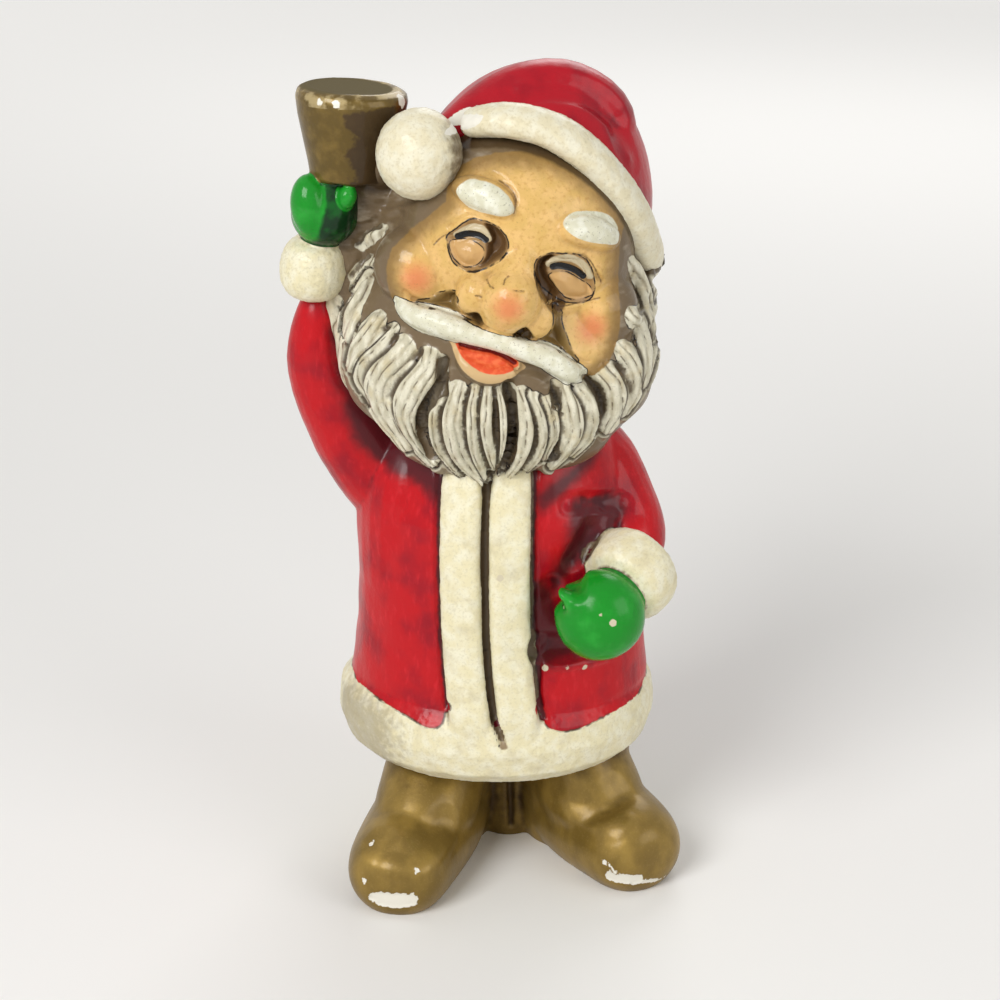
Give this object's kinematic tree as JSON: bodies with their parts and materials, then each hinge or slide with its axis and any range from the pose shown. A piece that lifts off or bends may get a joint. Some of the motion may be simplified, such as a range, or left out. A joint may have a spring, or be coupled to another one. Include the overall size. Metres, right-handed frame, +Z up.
{
  "type": "santa figurine",
  "caption": "Standing plaster figurine of a bearded Santa in a long coat, one arm raised with a bell, on flat boot soles.",
  "frame": {"origin": "on the floor, under the middle of the figure's width and depth", "axes": "+Z up, -Y the way the figure faces, +X to the viewer's right"},
  "size_m": [0.0884, 0.0718, 0.1851],
  "materials": {
    "painted_plaster": "hand-painted cast plaster, brown antiquing in the recesses, glossy varnish; red is the colour that covers most of it"
  },
  "bodies": {
    "root": {"santa_figurine": "painted_plaster"}
  },
  "joints": []
}
